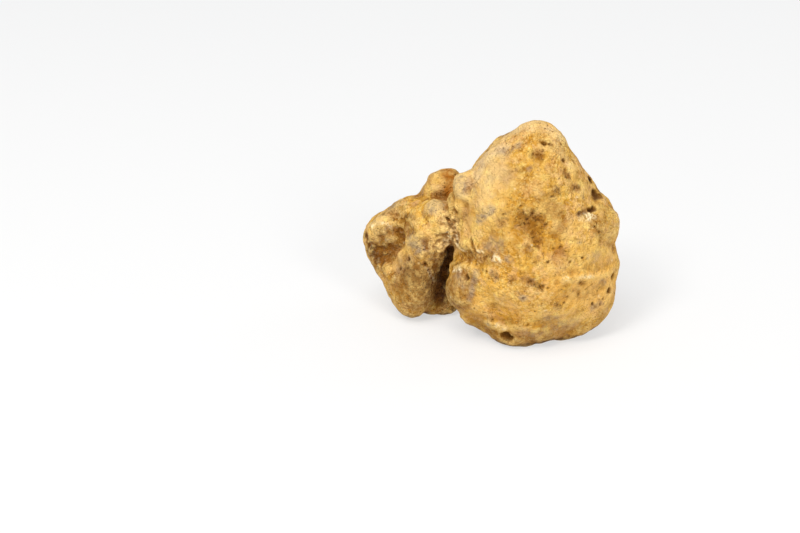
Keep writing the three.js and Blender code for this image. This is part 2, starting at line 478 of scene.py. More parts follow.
CRACKS = [  # narrow, with raised lips: path, reach, depth
    ([(541, 142), (546, 144.5), (549, 144), (553, 145)], 0.9, 0.9),
    ([(578, 215), (582, 213.4), (586, 211.4), (591, 209.6)], 0.8, 0.7),
    ([(457, 242), (462, 248), (466, 252)], 0.6, 0.7),
    ([(471, 240), (472, 247), (476, 253)], 0.6, 0.8),
    ([(477, 253), (484, 257)], 0.6, 0.6),
    ([(450, 199), (453, 207), (456, 213)], 0.7, 0.7),
    ([(446, 218), (450, 224), (447, 233)], 0.7, 0.5),
    ([(425, 264), (430, 272), (434, 282)], 0.8, 0.9),
    ([(449, 268), (455, 264), (461, 263)], 0.7, 0.7),
]
CHIPS = [  # healed flakes, pale and a little proud: path, reach
    ([(495, 258), (499, 260)], 1.8),
    ([(457, 243), (459, 247), (466, 251)], 0.8),
    ([(477, 251), (482, 252)], 0.8),
    ([(453, 270), (456, 268), (460, 269)], 1.5),
    ([(581, 217.2), (587, 216.2), (592, 214.4)], 2.0),
    ([(564, 279), (568, 279)], 1.1),
    ([(580, 278), (586, 277), (593, 277)], 0.9),
    ([(599, 296)], 0.7),
    ([(551, 294)], 0.8),
    ([(612, 259)], 0.8),
    ([(596, 322)], 0.9),
    ([(498, 326), (504, 328)], 1.5),
    ([(373, 227), (380, 223), (391, 225)], 0.9),
    ([(427, 268), (431, 275), (434, 281)], 0.8),
    ([(456, 236), (459, 240)], 1.0),
    ([(545, 310)], 0.6),
    ([(447, 233), (450, 238)], 0.9),
    ([(444, 241)], 0.7),
    ([(453, 228)], 0.6),
    ([(400, 198)], 1.2),
]
print(len(HOLES), "holes,", len(PINHOLES), "pinholes,", len(CRACKS), "cracks,", len(CHIPS), "chips")

# %% [markdown]
# ## Patches of colour
# Stones rub grey bruises into the rind, damp hollows turn brown, soil cakes in the cleft, and whole
# areas are a little more golden, paler or browner than the rest. Some patches are painted light too: the
# near-black painted shade at the bottom of the cleft, brown veils of painted shade on the undersides and
# the front bulge, and paler patches where the seam is shaded. Noise alone would put such patches
# anywhere, and a painted image would need a map of the skin. Here every patch is a soft mark at its own
# place, with a path, a reach in millimetres and a strength, and the material breaks up its edge later.

# %% Bruises and brown stains on the front
BRUISES = [  # grey and lilac patches
    ([(479, 219), (485, 214), (492, 209)], 2.2, 1.0),
    ([(488, 246), (499, 249)], 3.0, 0.55),
    ([(492, 239), (502, 243)], 2.0, 0.5),
    ([(507, 259)], 2.4, 0.8),
    ([(462, 186), (459, 180)], 3.6, 1.0),
    ([(474, 190)], 2.0, 0.5),
    ([(490, 178)], 2.6, 0.5),
    ([(498, 151), (509, 151), (518, 146)], 2.0, 0.7),
    ([(529, 169)], 1.4, 0.7),
    ([(433, 207), (437, 205)], 4.2, 1.0),
    ([(411, 242), (421, 249)], 4.2, 1.0),
    ([(400, 266), (414, 262)], 3.6, 0.4),
    ([(392, 206)], 2.4, 1.0),
    ([(375, 224)], 1.6, 0.7),
    ([(381, 230), (387, 232)], 3.4, 0.9),
    ([(476, 272), (474, 285), (470, 298)], 1.8, 0.8),
    ([(458, 276), (463, 283)], 2.8, 0.6),
    ([(524, 280), (532, 283)], 2.0, 0.4),
    ([(523, 298)], 2.0, 1.0),
    ([(530, 250)], 1.4, 0.8),
    ([(489, 324)], 1.6, 0.8),
    ([(593, 307), (600, 304)], 2.0, 0.7),
    ([(601, 281), (604, 283)], 1.6, 0.6),
    ([(579, 242)], 1.4, 0.6),
    ([(577, 189)], 2.2, 0.6),
    ([(568, 176)], 1.8, 0.7),
    ([(556, 190)], 2.0, 0.4),
    ([(545, 320), (556, 318)], 1.8, 0.5),
    ([(491, 272), (496, 278)], 1.2, 0.6),
    ([(525, 333), (538, 334)], 2.4, 0.5),
    ([(548, 327), (572, 324)], 4.0, 0.4),
]
STAINS = [  # brown, where the hollows hold damp earth
    ([(524, 218), (536, 223)], 5.4, 1.0),
    # painted shade under the left lump's broken overhang
    ([(412, 271), (422, 276), (430, 290)], 7.0, 0.75),
    ([(535, 226), (537, 242)], 3.4, 0.9),
    ([(540, 240), (528, 250)], 3.0, 0.5),
    ([(535, 154), (541, 154)], 2.2, 0.9),
    ([(541, 142), (549, 145)], 2.2, 0.6),
    ([(565, 172), (568, 177)], 1.9, 1.0),
    ([(573, 187), (579, 188)], 1.9, 0.9),
    ([(528, 218), (538, 221)], 3.0, 1.0),
    ([(500, 222), (503, 214)], 2.6, 0.6),
    ([(551, 196), (556, 191)], 2.8, 0.8),
    ([(529, 254), (537, 262)], 2.4, 0.6),
    ([(520, 170)], 1.8, 0.5),
    ([(512, 280)], 2.2, 0.7),
    ([(494, 276)], 2.6, 0.7),
    ([(564, 250)], 2.4, 0.6),
    ([(466, 249), (475, 255)], 2.0, 0.9),
    ([(480, 255), (490, 257)], 2.4, 0.8),
    ([(530, 281), (542, 288)], 1.7, 1.0),
    ([(532, 282), (541, 287)], 1.4, 1.0),
    ([(556, 304), (559, 307)], 1.5, 0.8),
    ([(595, 306)], 1.4, 0.7),
    ([(579, 282), (584, 283)], 1.2, 0.8),
    ([(391, 220), (398, 216), (406, 215), (414, 218)], 1.6, 0.9),
    ([(386, 212), (397, 210), (405, 217)], 2.2, 0.8),
    ([(446, 200), (451, 210), (449, 225), (452, 236)], 2.0, 0.25),
    ([(594, 192)], 2.6, 0.5),
    ([(586, 212)], 3.0, 0.5),
    ([(506, 337)], 3.2, 0.7),
    ([(467, 278)], 1.8, 0.6),
    ([(435, 194), (443, 196)], 2.0, 0.6),
]
print(len(BRUISES), "bruises,", len(STAINS), "stains")

# %% Earth and painted shade on the front
EARTH = [  # caked soil, dark and crumbly
    ([(374, 246), (384, 252)], 5.0, 1.0),
    ([(370, 244), (379, 260)], 4.4, 1.0),
    ([(381, 232), (389, 236), (389, 246)], 4.4, 0.9),
    ([(400, 230), (405, 238)], 2.6, 0.9),
    ([(432, 255), (441, 258), (438, 266), (437, 280)], 3.4, 0.6),
]
DEEP_SHADE = [  # near-black painted shade over dark earth: the bottom of the cleft, the scoop and the shoulder's holes
    ([(450, 250), (447, 258), (444, 270), (442, 285), (440, 299)], 3.6, 1.0),
    ([(442, 284), (440, 296)], 4.4, 1.0),
    ([(408, 277), (418, 277), (428, 283)], 6.0, 0.42),
    ([(448, 290), (456, 306)], 3.6, 0.22),
    ([(366, 235)], 2.0, 1.0),
    ([(371, 250), (378, 258)], 2.2, 0.7),
    ([(595, 192), (596, 198)], 1.6, 0.85),
    ([(590, 210), (594, 208.5)], 1.2, 0.8),
    ([(580, 214), (584, 212)], 1.0, 0.6),
]
CRUMBS = [  # loose crumbs of rind and dry soil
    ([(449, 219), (451, 228), (450, 238)], 5.2, 1.0),
    ([(451, 206), (452, 214)], 2.6, 0.4),
    ([(444, 240), (434, 250)], 4.6, 1.0),
    ([(456, 244), (468, 251), (482, 256), (499, 261)], 2.2, 0.3),
    ([(380, 229), (390, 233), (398, 238)], 5.0, 0.35),
    ([(371, 247), (384, 258), (394, 254)], 5.0, 0.3),
    ([(434, 252), (441, 258), (436, 268)], 4.0, 0.8),
    ([(568, 289), (586, 291), (602, 293)], 6.5, 0.22),
    ([(392, 221), (398, 216), (405, 215), (413, 218)], 2.0, 0.6),
]
print(len(EARTH) + len(DEEP_SHADE), "patches of earth,", len(CRUMBS), "of crumbs")

# %% Clouds of colour on the front
GOLD = [  # where the rind is a deep, clean gold
    ([(498, 282), (504, 290), (498, 308)], 9, 0.85),
    ([(470, 300), (500, 312), (530, 318)], 7, 0.8),
    ([(522, 205), (545, 232), (560, 250)], 12, 0.9),
    ([(535, 137), (528, 155), (545, 160)], 8, 0.35),
    ([(480, 232), (500, 236)], 5, 0.6),
    ([(560, 292), (590, 296)], 8, 1.0),
    ([(578, 286), (604, 290)], 6, 0.4),
    ([(420, 208), (408, 214)], 5, 0.7),
    ([(438, 172), (442, 186)], 6, 0.8),
    ([(430, 225), (436, 236)], 5, 0.6),
]
PALE = [  # where it is rubbed pale
    ([(484, 178), (494, 196), (488, 220)], 7, 0.9),
    ([(488, 142), (520, 126)], 5.5, 0.9),
    ([(496, 166), (507, 178)], 6, 0.7),
    ([(568, 231), (582, 223)], 5, 0.8),
    ([(606, 240), (612, 256)], 4.5, 0.8),
    ([(582, 286), (604, 283)], 5, 0.9),
    ([(398, 262), (406, 255), (408, 246)], 4.0, 1.0),
    # partly painted light: paler to lift the shade at the top of the cleft
    ([(440, 236), (446, 247)], 3.5, 0.8),
    ([(566, 163), (572, 178)], 4, 0.4),
    ([(572, 262), (590, 258), (606, 264)], 5, 0.5),
    ([(436, 246), (440, 256)], 4.0, 0.5),
    ([(545, 206), (553, 212)], 4.6, 0.85),
    ([(575, 235), (596, 252)], 7, 0.3),
    ([(552, 272), (562, 279)], 4.6, 0.6),
    ([(578, 180), (590, 198), (602, 206)], 4, 0.6),
    ([(576, 272), (604, 268)], 4, 0.6),
    ([(578, 292), (604, 296)], 6, 1.0),
    # partly painted light: paler to lift the shade in the knuckle's crease
    ([(452, 201), (468, 200)], 5, 1.0),
    ([(458, 218), (468, 226), (476, 218)], 5, 0.7),
    # partly painted light: paler to lift the painted shade of shelter at the cleft's top
    ([(428, 238), (438, 236), (448, 244)], 5, 1.0),
    ([(570, 279), (600, 277)], 2.4, 0.9),
    ([(380, 220), (396, 206)], 3.6, 0.5),
    ([(446, 226), (456, 240), (464, 234)], 6, 1.0),
    ([(478, 238), (498, 240)], 4, 0.6),
    ([(540, 318), (584, 316)], 5, 0.6),
    ([(480, 300), (512, 303)], 6, 0.3),
    ([(470, 312), (480, 318)], 4, 0.3),
    # partly painted light: paler to lift the shade in the seam's crease
    ([(455, 200), (458, 216), (460, 228)], 4, 1.0),
    ([(456, 190), (462, 174)], 4, 0.5),
]
CHALK = [  # a dull pale bloom
    ([(474, 174), (482, 162), (496, 150)], 7.0, 1.0),
    ([(494, 170), (504, 176)], 5.0, 0.6),
    ([(514, 128), (540, 124), (558, 134)], 5.5, 0.8),
    ([(556, 146), (572, 166)], 3.5, 0.4),
    ([(458, 176), (462, 190)], 4.5, 0.8),
    ([(486, 186), (480, 202)], 4.5, 0.5),
    ([(376, 222), (386, 212), (396, 206)], 3.0, 0.5),
    ([(433, 203), (437, 208)], 3.6, 0.6),
    ([(424, 188), (434, 170)], 3.0, 0.5),
    # partly painted light: paler to lift the shade in the seam's crease
    ([(446, 200), (450, 222), (451, 238), (445, 248)], 4.2, 0.8),
]
UMBER_AND_SHADE = [  # brownish veils over rind that lay against damp soil, and painted shade on the undersides and the shaded front bulge
    ([(410, 281), (418, 277), (428, 281), (436, 292)], 10, 1.0),
    ([(596, 220), (598, 229)], 4.0, 0.9),
    ([(556, 214), (562, 220), (558, 232)], 4.5, 0.7),
    ([(484, 319), (492, 322), (514, 327)], 4.5, 0.5),
    ([(604, 312), (600, 322)], 4.5, 0.5),
    ([(418, 300), (405, 290)], 12, 1.0),
    ([(512, 178), (528, 186), (532, 200), (518, 214), (520, 232)], 8, 0.36),
    ([(500, 158), (526, 158)], 3, 0.3),
    ([(506, 236), (516, 242)], 3, 0.4),
    ([(552, 252), (566, 262)], 6, 0.3),
    ([(604, 208), (608, 230)], 5, 0.45),
    ([(548, 178), (536, 170)], 5, 0.3),
    ([(455, 281), (466, 284), (463, 302)], 5.5, 0.95),
    ([(448, 290), (456, 304)], 7, 1.0),
    ([(462, 310), (480, 326)], 5, 0.5),
    ([(513, 286), (517, 292)], 3, 0.35),
    ([(492, 334), (520, 343), (545, 340)], 6, 0.9),
    ([(545, 340), (590, 326)], 4, 0.5),
    ([(402, 224), (412, 234), (424, 244)], 4.0, 0.75),
    ([(488, 246), (500, 250)], 4, 0.3),
    ([(470, 256), (484, 259), (497, 262)], 2.8, 0.5),
    ([(374, 262), (382, 272), (394, 290)], 5, 0.35),
]
WARM = [  # where it is a warm, bright tan
    ([(564, 290), (584, 291), (606, 288)], 11, 1.0),
    ([(474, 304), (500, 312), (526, 308)], 8, 0.5),
    ([(612, 246), (610, 262)], 6, 0.8),
]
RUST = [  # red-brown, where iron in the soil has stained it
    ([(447, 171), (451, 180), (452, 191)], 4.6, 1.0),
    ([(431, 173), (430, 182)], 2.0, 0.6),
    ([(558, 250)], 2.4, 0.4),
    ([(573, 276)], 2.0, 0.4),
    ([(580, 283)], 2.0, 0.3),
    ([(574, 291), (586, 297)], 2.0, 0.25),
    ([(558, 298), (564, 296)], 3.0, 0.35),
    ([(594, 307), (600, 303)], 2.0, 0.3),
]
FRONT_STAINS = {
    "gold": GOLD,
    "pale": PALE,
    "warm": WARM,
    "chalk": CHALK,
    "umber_and_shade": UMBER_AND_SHADE,
    "deep_shade": DEEP_SHADE,
    "earth": EARTH,
    "crumb": CRUMBS,
    "bruise": BRUISES,
    "rust": RUST,
    "brown": STAINS,
}
print({name: len(marks) for name, marks in FRONT_STAINS.items()})

# %% [markdown]
# ## Marks all round
# The lists are laid onto the skin now. The back and the underside grew in the same soil, so they get the
# same kinds of marks, strewn by a random draw with a fixed seed, which puts them in the same places every
# time. A mark that is pressed in also leaves its stain, a brown ring round a hole for one.

# %% Where each point of the skin lies
RAGGED = ((0.6, 2.4, 0), (0.4, 0.9, 3))  # share, size and seed of the noises that bend an outline
WAVER = 0.45  # how far they bend it, as a share of the distance
FRAYED = {"size": 0.8, "seed": 5}
FRAY = 0.35  # how far a finer noise frays it, in millimetres
BROKEN = {"size": 2.0, "seed": 7}
BROKEN_STEEP = 2.2  # how sharply cracks and chips break off and start again
SOFT_EDGE = 1.25  # above 1, a stain is full some way out from its path

points = read_points(skin.data)
normals = read_normals(skin.data)
tree = skin_tree(skin.data)
ragged = sum(share * fractal(points, size, seed=seed) for share, size, seed in RAGGED)
frayed = fractal(points, **FRAYED)
broken = smoothstep(0.5 + BROKEN_STEEP * fractal(points, **BROKEN))
stains = {name: np.zeros(len(points)) for name in (*FRONT_STAINS, "chip", "hole")}


def stain(name, away, reach, strength):
    """Marks the points nearer than reach, most where they are nearest."""
    stains[name] = np.maximum(stains[name], strength * smoothstep(SOFT_EDGE * (1 - away / reach)))


def away_from(path):
    """The distance of every point from a path on the skin, with a ragged edge."""
    return distance_to_path(points, path) * (1 + WAVER * ragged) + FRAY * frayed


def on_front(marks):
    """The marks with their paths dropped from the picture onto the skin."""
    return [([on_skin(tree, *spot) for spot in path], *shape) for path, *shape in marks]


print(len(points), "points")

# %% Marks on the hidden sides
SEED = 41
AWAY_FROM_EYE = 0.12
TURN = 0.6  # how much a path may turn at each of its steps
HIDDEN_SHAPES = {  # how many, steps of a path, length of a step, ranges of radius or reach and of depth
    "holes": (16, 0, 0, (0.45, 1.1), (0.6, 2.0)),
    "cracks": (12, (2, 4), 1.6, (0.6, 0.9), (0.4, 0.8)),
    "chips": (22, 1, 1.5, (0.6, 1.4)),
}
CLOUDS = (12, 2, 6, (5, 11), (0.5, 1.0))
HIDDEN_STAINS = {  # how many, steps of a path, length of a step, ranges of reach and of strength
    "bruise": (46, 1, 2.5, (1.4, 4.0), (0.4, 1.0)),
    "brown": (34, 2, 2.5, (1.6, 4.0), (0.4, 0.9)),
    "rust": (8, 1, 3, (2.0, 3.6), (0.3, 0.7)),
    "crumb": (5, 2, 3, (3.0, 6.0), (0.4, 0.8)),
    "gold": CLOUDS,
    "pale": CLOUDS,
    "umber_and_shade": CLOUDS,
    "chalk": CLOUDS,
}

draw = random.Random(SEED)
to_eye = np.array(eye) / MM - points
to_eye /= np.linalg.norm(to_eye, axis=1)[:, None]
hidden = np.flatnonzero((normals * to_eye).sum(axis=1) < AWAY_FROM_EYE)


def any_direction(most):
    return np.array([draw.uniform(-most, most) for _ in range(3)])


def wander(steps, stride):
    """A path over the hidden skin that starts anywhere, keeps roughly to one direction and stays hidden."""
    path = [points[draw.choice(hidden)]]
    heading = any_direction(1)
    for _ in range(steps):
        heading = heading / np.linalg.norm(heading) + any_direction(TURN)
        place, normal, _, _ = tree.find_nearest(Vector((path[-1] + stride * heading) * MM))
        if normal.dot((eye - place).normalized()) > AWAY_FROM_EYE:
            break
        path.append(np.array(place) / MM)
    return path


def strewn_mark(steps, stride, *ranges):
    """A wandering path, with a number drawn from every range."""
    if isinstance(steps, tuple):
        steps = draw.randint(*steps)
    return (wander(steps, stride), *[draw.uniform(*ends) for ends in ranges])


def strewn(kinds):
    return {name: [strewn_mark(*mark) for _ in range(count)] for name, (count, *mark) in kinds.items()}


hidden_shapes = strewn(HIDDEN_SHAPES)
hidden_stains = strewn(HIDDEN_STAINS)
print({name: len(marks) for name, marks in (*hidden_shapes.items(), *hidden_stains.items())})

# %% Press and stain the marks
HOLE_RIM = 1.15  # where a hole starts to sink, in radii
HOLE_WALL = 0.7  # how wide its wall is, in radii
HOLE_RING = 2.0  # how far the brown ring reaches, in radii
RING_DARK = 0.7
GROOVE_LEAST = 0.25  # the share of a crack's depth that is left where it is broken off
LIP = 0.16
LIP_FROM_CRACK = 1.5  # in reaches of the crack, as the next two are
# CRACK_FLOOR and CRACK_DARK: how wide and how dark the painted shade on a crack's floor is
CRACK_FLOOR = 0.6
CRACK_RING = 1.8
CRACK_DARK = 0.6
CHIP_HEIGHT = 0.12
CHIP_EDGE = 1.5
CHIP_LEAST = 0.3  # how pale a chip is where it is broken


def hole(path, radius, depth, dark=1.0, tilt=0.0):
    """The shift into a steep-walled hole, tilted towards the line of sight, with painted shade inside and a
    brown ring round it.
    """
    away = away_from(path)
    mouth = normals[away < radius]
    inward = -mouth.mean(axis=0) if len(mouth) else -normals[np.argmin(away)]
    inward = (1 - tilt) * inward + tilt * np.array(sight)
    # painted shade: the inside of the hole is coloured near-black
    stain("hole", away, HOLE_RIM * radius, dark)
    stain("brown", away, HOLE_RING * radius, RING_DARK * dark)
    return inward * (depth * smoothstep((HOLE_RIM * radius - away) / (HOLE_WALL * radius)))[:, None]


def crack(path, reach, depth):
    """The shift into a narrow groove between two low lips, with painted shade on its floor and a brown ring
    round it.
    """
    away = away_from(path)
    groove = smoothstep(1 - away / reach) * (GROOVE_LEAST + (1 - GROOVE_LEAST) * broken)
    lips = smoothstep(1 - abs(away - LIP_FROM_CRACK * reach) / reach) * broken
    stain("hole", away, CRACK_FLOOR * reach, CRACK_DARK * broken)
    stain("brown", away, CRACK_RING * reach, RING_DARK)
    return normals * (LIP * lips - depth * groove)[:, None]


def chip(path, reach):
    """The shift of a healed flake that stands a little proud."""
    away = away_from(path)
    stain("chip", away, reach, CHIP_LEAST + (1 - CHIP_LEAST) * broken)
    return normals * (CHIP_HEIGHT * broken * smoothstep(CHIP_EDGE * (1 - away / reach)))[:, None]


PRESSED = (
    (hole, on_front(HOLES)),
    (hole, on_front([([spot], *PINHOLE) for spot in PINHOLES])),
    (crack, on_front(CRACKS)),
    (chip, on_front(CHIPS)),
    (hole, hidden_shapes["holes"]),
    (crack, hidden_shapes["cracks"]),
    (chip, hidden_shapes["chips"]),
)
moved = points.copy()
for shift, marks in PRESSED:
    for mark in marks:
        moved = moved + shift(*mark)
front_stains = {name: on_front(marks) for name, marks in FRONT_STAINS.items()}
for name, marks in (*front_stains.items(), *hidden_stains.items()):
    for path, reach, strength in marks:
        stain(name, away_from(path), reach, strength)
print(sum(len(marks) for _, marks in PRESSED), "marks pressed into the skin")

# %% Let earth settle and paint shade where the skin is sheltered
UMBER_AND_SHADE_SHELTER = (0.34, 0.7)  # the shelter where the brown veil and its painted shade start, and where they are full
UMBER_AND_SHADE_MOST = 0.8
# the shelter where the near-black painted shade starts, and where it is full
DEEP_SHADE_SHELTER = (0.62, 0.8)
DRY_CRUMBS = 0.22  # how much less the shelter's brown veil and painted shade darken the crumbs, as dry crumbs are paler
SHELTER_RAGGED = 0.10
SHELTER_FRAYED = 0.06


def rise(values, start, full):
    return smoothstep((values - start) / (full - start))


sheltered = np.empty(len(points))
skin.data.attributes["sheltered"].data.foreach_get("value", sheltered)
sheltered = sheltered + SHELTER_RAGGED * ragged + SHELTER_FRAYED * frayed - DRY_CRUMBS * stains["crumb"]
# painted shade: the more sheltered a point is, the browner and then the darker it is coloured
stains["umber_and_shade"] = np.maximum(stains["umber_and_shade"], UMBER_AND_SHADE_MOST * rise(sheltered, *UMBER_AND_SHADE_SHELTER))
stains["deep_shade"] = np.maximum(stains["deep_shade"], rise(sheltered, *DEEP_SHADE_SHELTER))
print({name: int((amount > NOTABLE).sum()) for name, amount in stains.items()}, "points stained")

# %% [markdown]
# ## The relief of the rind
# Between the marks the rind is never smooth: it swells and dips at every size from a centimetre down to
# a grain of sand. Noise of a few sizes is added up, each finer one lower. Where earth is caked on, the
# noise is stronger and broken into crumbs. A displacement texture would do this too, but noise that is
# worked out point by point can follow the stains.

# %% Add the rough relief
SWELLS = [  # size across and height in millimetres, octaves, seed
    (10.0, 0.55, 2, 1),
    (4.5, 0.22, 2, 2),
    (1.8, 0.16, 1, 4),
]
KNOBS = {"size": 6.5, "seed": 13}
KNOB_HEIGHT = 0.6
KNOB_LEVEL = 0.3  # the noise above which a knob stands out
KNOBBLY_SIDE = (0, -12)  # knobs grow from low at the first x to their full height at the second
KNOBBLY_LEAST = 0.25
BIG_SIZE = 1.9  # the crumbs of earth, big and small
BIG_HEIGHT = 0.48
SMALL_SIZE = 1.0
SMALL_HEIGHT = 0.26
PEBBLE_BEND = 0.35
PEBBLE_SEEDS = (31, 32, 33)
PEBBLE_STEEP = 2.2
BIG_SHARE = 0.6  # how much the big crumbs count in where the valleys lie
VALLEY = (0.05, 0.4)
FLOOR_GAP = 0.02  # the lowest that any point may lie


def pebbles(points, size):
    """Round-topped grains with sharp valleys between them, about -1 to 1."""
    bend = np.stack([fractal(points, size, seed=seed) for seed in PEBBLE_SEEDS], axis=1)
    near = np.array([noise.voronoi(Vector(p) / size)[0][0] for p in points + PEBBLE_BEND * size * bend])
    return 1 - PEBBLE_STEEP * near


height = np.zeros(len(points))
for size, tall, octaves, seed in SWELLS:
    height += tall * fractal(points, size, octaves, seed)
knobbly = KNOBBLY_LEAST + (1 - KNOBBLY_LEAST) * rise(points[:, 0], *KNOBBLY_SIDE)
height += KNOB_HEIGHT * knobbly * (np.abs(fractal(points, **KNOBS)) - KNOB_LEVEL)
big = pebbles(points, BIG_SIZE)
small = pebbles(points, SMALL_SIZE)
caked = np.maximum(stains["earth"], stains["crumb"])
height += caked * (BIG_HEIGHT * big + SMALL_HEIGHT * small)
# painted shade in the valleys between the crumbs of earth
stains["valley_shade"] = caked * rise(-(BIG_SHARE * big + (1 - BIG_SHARE) * small), *VALLEY)
moved = moved + normals * height[:, None]
moved[:, 2] = np.maximum(moved[:, 2], FLOOR_GAP)
write_points(skin.data, moved)
print("relief from", round(height.min(), 2), "to", round(height.max(), 2), "mm")

# %% Measure how hollow the skin is at each point, for painted shade and highlight
HOLLOW_ROUNDS = 12
# the sunk depth, in millimetres, at which the painted shade of a hollow is full
HOLLOW_FULL = 0.22

softened = evened(moved, read_edges(skin.data), HOLLOW_ROUNDS)
sunk = ((softened - moved) * read_normals(skin.data)).sum(axis=1) / HOLLOW_FULL
sunk = evened(sunk, read_edges(skin.data), 1).ravel()
# painted light: hollows are coloured darker as painted shade, ridges paler as painted highlight
stains["hollow"] = np.clip(sunk, 0, 1)
stains["ridge"] = np.clip(-sunk, 0, 1)
for name, amount in stains.items():
    skin.data.attributes.new(name, "FLOAT", "POINT").data.foreach_set("value", amount)
for polygon in skin.data.polygons:
    polygon.use_smooth = True
print("hollow points:", int((sunk > NOTABLE).sum()), "ridge points:", int((sunk < -NOTABLE).sum()))

# %% [markdown]
# ## The colour of the rind
# The rind is built up in layers, as a painter would: a golden ground, broad brown and pale clouds, then
# smaller mottles and grains, the stains that were marked on the skin, and last the specks. Some layers are
# painted light: near-black painted shade in holes, cracks and the cleft, darker painted shade in hollows
# and between crumbs, and paler painted highlight on ridges. Each layer is a noise field, laid over the
# ones before it with a colour of its own. Layers that name a stain show only where that stain is, and
# grain shows most where the rind is rough. A painted image would blur close up; noise stays sharp, and
# one layer can be changed without the others.

# %% Tools for the material
def connect(tree, sockets, values):
    """Gives each socket its value: a link if the value is another node's socket, else a constant."""
    for socket, value in zip(sockets, values):
        if isinstance(value, bpy.types.NodeSocket):
            tree.links.new(value, socket)
        else:
            socket.default_value = value


def add(tree, kind, settings=None, **inputs):
    """A new node with its settings and the values of the inputs that are named."""
    node = tree.nodes.new(kind)
    for name, value in (settings or {}).items():
        setattr(node, name, value)
    connect(tree, [node.inputs[name.replace("_", " ")] for name in inputs], inputs.values())
    return node


def calculate(tree, kind, operation, *values):
    """The result of a node that does one sum with the values."""
    node = add(tree, kind, {"operation": operation})
    connect(tree, node.inputs, values)
    return node.outputs[0]


def times(tree, first, second):
    return calculate(tree, "ShaderNodeMath", "MULTIPLY", first, second)


def scaled(tree, value, low, high):
    """A value from 0 to 1 turned into one from low to high."""
    return add(tree, "ShaderNodeMapRange", Value=value, To_Min=low, To_Max=high).outputs["Result"]


def between(tree, value, low, high):
    """A smooth step: 0 where the value is at low, 1 where it is at high."""
    smooth = {"interpolation_type": "SMOOTHSTEP"}
    node = add(tree, "ShaderNodeMapRange", smooth, Value=value, From_Min=low, From_Max=high)
    return node.outputs["Result"]


def stain_value(tree, name):
    return add(tree, "ShaderNodeAttribute", {"attribute_name": name}).outputs["Fac"]


def lay_over(tree, amount, below, colour):
    """The colour below with another laid over it by amount."""
    node = add(tree, "ShaderNodeMix", {"data_type": "RGBA"})
    connect(tree, (node.inputs[0], node.inputs[6], node.inputs[7]), (amount, below, (*colour, 1)))
    return node.outputs[2]


# %% Fields of noise and of specks
NOISE_ROUGHNESS = 0.55
SPECK_CORE = 0.3  # how much of a speck is full, as a share of its radius
CLUSTERS = (7, 0.46, 0.60)  # specks stand together in patches of noise of this size, low and high


def noise_field(tree, place, size, low, high, seed, detail=4):
    """Noise with swells about size millimetres wide: 0 where it is under low, 1 where it is over high."""
    grain = {"Scale": 1 / (size * MM), "Detail": detail, "Roughness": NOISE_ROUGHNESS}
    texture = add(tree, "ShaderNodeTexNoise", {"noise_dimensions": "4D"}, Vector=place, W=seed, **grain)
    return between(tree, texture.outputs[0], low, high)


def speck_field(tree, place, spacing, radius, share, seed):
    """Round specks, one at most in each cell of spacing millimetres: 1 inside a speck, 0 outside."""
    shifted = calculate(tree, "ShaderNodeVectorMath", "ADD", place, (seed * MM, 0, 0))
    cells = add(tree, "ShaderNodeTexVoronoi", Vector=shifted, Scale=1 / (spacing * MM))
    inside = between(tree, cells.outputs["Distance"], radius / spacing, SPECK_CORE * radius / spacing)
    chosen = calculate(tree, "ShaderNodeMath", "LESS_THAN", cells.outputs["Color"], share)
    clusters = noise_field(tree, place, *CLUSTERS, seed)
    return times(tree, clusters, times(tree, inside, chosen))


